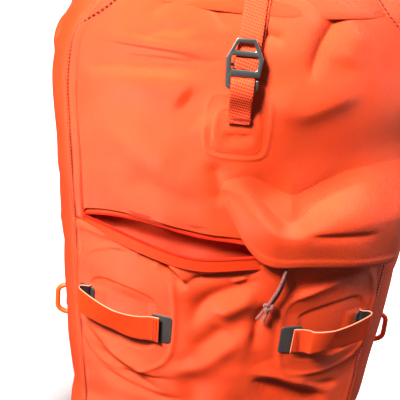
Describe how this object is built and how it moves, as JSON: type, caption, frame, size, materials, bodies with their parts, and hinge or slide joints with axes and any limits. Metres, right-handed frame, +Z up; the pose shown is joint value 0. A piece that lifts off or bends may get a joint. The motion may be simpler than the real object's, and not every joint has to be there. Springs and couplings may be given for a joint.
{
  "type": "waterproof roll-top backpack",
  "caption": "Large waterproof roll-top pack with a zipped front pocket, hooked top strap, front grab handles, side loops and a padded harness.",
  "frame": {"origin": "centre of the flat base, between the two sides, on the face it stands on", "axes": "+Z up the pack, -Y out of the front pocket side, +X to the right as the front is seen"},
  "size_m": [0.377, 0.3105, 0.6563],
  "materials": {
    "shell_fabric": "satin coated weave",
    "reinforcement": "satin welded layer",
    "webbing": "woven",
    "handle_webbing": "smooth woven, dark inner face",
    "dark_tab": "matte moulded film",
    "maroon_webbing": "woven",
    "cord": "braided",
    "hook_metal": "satin",
    "slider_metal": "satin",
    "zip_coil": "moulded coil",
    "tube": "smooth",
    "buckle_plastic": "moulded",
    "back_foam": "air mesh over foam",
    "harness_foam": "mesh and weave over foam",
    "frame_plastic": "sheet",
    "stay_metal": "mill finish",
    "dark_webbing": "woven"
  },
  "bodies": {
    "pack": {"anchor_wing_left": "dark_webbing", "anchor_wing_right": "dark_webbing", "back_pad": "back_foam", "back_panel": "shell_fabric", "base_panel": "shell_fabric", "collar": "shell_fabric", "frame_sheet": "frame_plastic", "frame_stay": "stay_metal", "front_panel": "shell_fabric", "handle_ends_left": "handle_webbing", "handle_ends_right": "handle_webbing", "handle_patch_left": "reinforcement", "handle_patch_right": "reinforcement", "handle_tabs_left": "dark_tab", "handle_tabs_right": "dark_tab", "harness_yoke": "dark_webbing", "haul_ends": "dark_webbing", "hook_loop": "webbing", "loop_patch": "reinforcement", "lower_webbing_left": "dark_webbing", "lower_webbing_right": "dark_webbing", "pocket_panel": "shell_fabric", "pocket_wall": "shell_fabric", "roll_closure": "shell_fabric", "roll_stiffener": "frame_plastic", "side_loop_keeper_left": "reinforcement", "side_loop_keeper_right": "reinforcement", "side_loop_patch_left": "reinforcement", "side_loop_patch_right": "reinforcement", "side_panel_left": "shell_fabric", "side_panel_right": "shell_fabric", "side_strap_left": "maroon_webbing", "side_strap_right": "maroon_webbing", "storm_flap": "shell_fabric", "top_panel": "shell_fabric", "top_strap": "webbing", "zip_coil_lower": "zip_coil", "zip_coil_upper": "zip_coil", "zip_end_stops": "slider_metal", "zip_tape_lower": "shell_fabric", "zip_tape_upper": "shell_fabric"},
    "slider": {"zip_slider": "slider_metal"},
    "pull": {"zip_pull_ring": "slider_metal", "pull_cord_front": "cord", "pull_cord_rear": "cord", "cord_knot": "cord"},
    "hook": {"hook_buckle": "hook_metal"},
    "haul": {"haul_loop": "dark_webbing"},
    "handle_left": {"handle_grip_left": "handle_webbing"},
    "side_loop_left": {"side_loop_left": "tube"},
    "shoulder_left": {"shoulder_strap_left": "harness_foam", "ladder_lock_left": "buckle_plastic"},
    "handle_right": {"handle_grip_right": "handle_webbing"},
    "side_loop_right": {"side_loop_right": "tube"},
    "shoulder_right": {"shoulder_strap_right": "harness_foam", "ladder_lock_right": "buckle_plastic"}
  },
  "joints": [
    {"name": "zip_slide", "type": "hinge", "parent": "pack", "child": "slider", "pos_m": [0, 0.10401, 0.3063], "axis": [0, 0, 1], "range_deg": [-46.7, 22.9]},
    {"name": "pull_swing", "type": "hinge", "parent": "slider", "child": "pull", "pos_m": [0.05066, -0.1359, 0.3075], "axis": [-0.9784, -0.2066, 0], "range_deg": [0, 12]},
    {"name": "hook_swing", "type": "hinge", "parent": "pack", "child": "hook", "pos_m": [-0.007, -0.13857, 0.48671], "axis": [1, 0, 0], "range_deg": [-1.5, 6]},
    {"name": "handle_left_swing", "type": "hinge", "parent": "pack", "child": "handle_left", "pos_m": [-0.10488, -0.11686, 0.212], "axis": [0.9033, -0.4289, 0], "range_deg": [-20, 20]},
    {"name": "side_loop_left_swing", "type": "hinge", "parent": "pack", "child": "side_loop_left", "pos_m": [-0.17074, -0.012, 0.1645], "axis": [0, 0, 1], "range_deg": [-60, 60]},
    {"name": "shoulder_left_swing", "type": "hinge", "parent": "pack", "child": "shoulder_left", "pos_m": [-0.062, 0.11821, 0.46], "axis": [1, 0, 0], "range_deg": [0, 70]},
    {"name": "handle_right_swing", "type": "hinge", "parent": "pack", "child": "handle_right", "pos_m": [0.10488, -0.11686, 0.212], "axis": [0.9033, 0.4289, 0], "range_deg": [-20, 20]},
    {"name": "side_loop_right_swing", "type": "hinge", "parent": "pack", "child": "side_loop_right", "pos_m": [0.17074, -0.012, 0.1645], "axis": [0, 0, 1], "range_deg": [-60, 60]},
    {"name": "shoulder_right_swing", "type": "hinge", "parent": "pack", "child": "shoulder_right", "pos_m": [0.062, 0.11821, 0.46], "axis": [1, 0, 0], "range_deg": [0, 70]},
    {"name": "haul_swing", "type": "hinge", "parent": "pack", "child": "haul", "pos_m": [0, 0.10223, 0.495], "axis": [1, 0, 0], "range_deg": [-25, 25]}
  ]
}
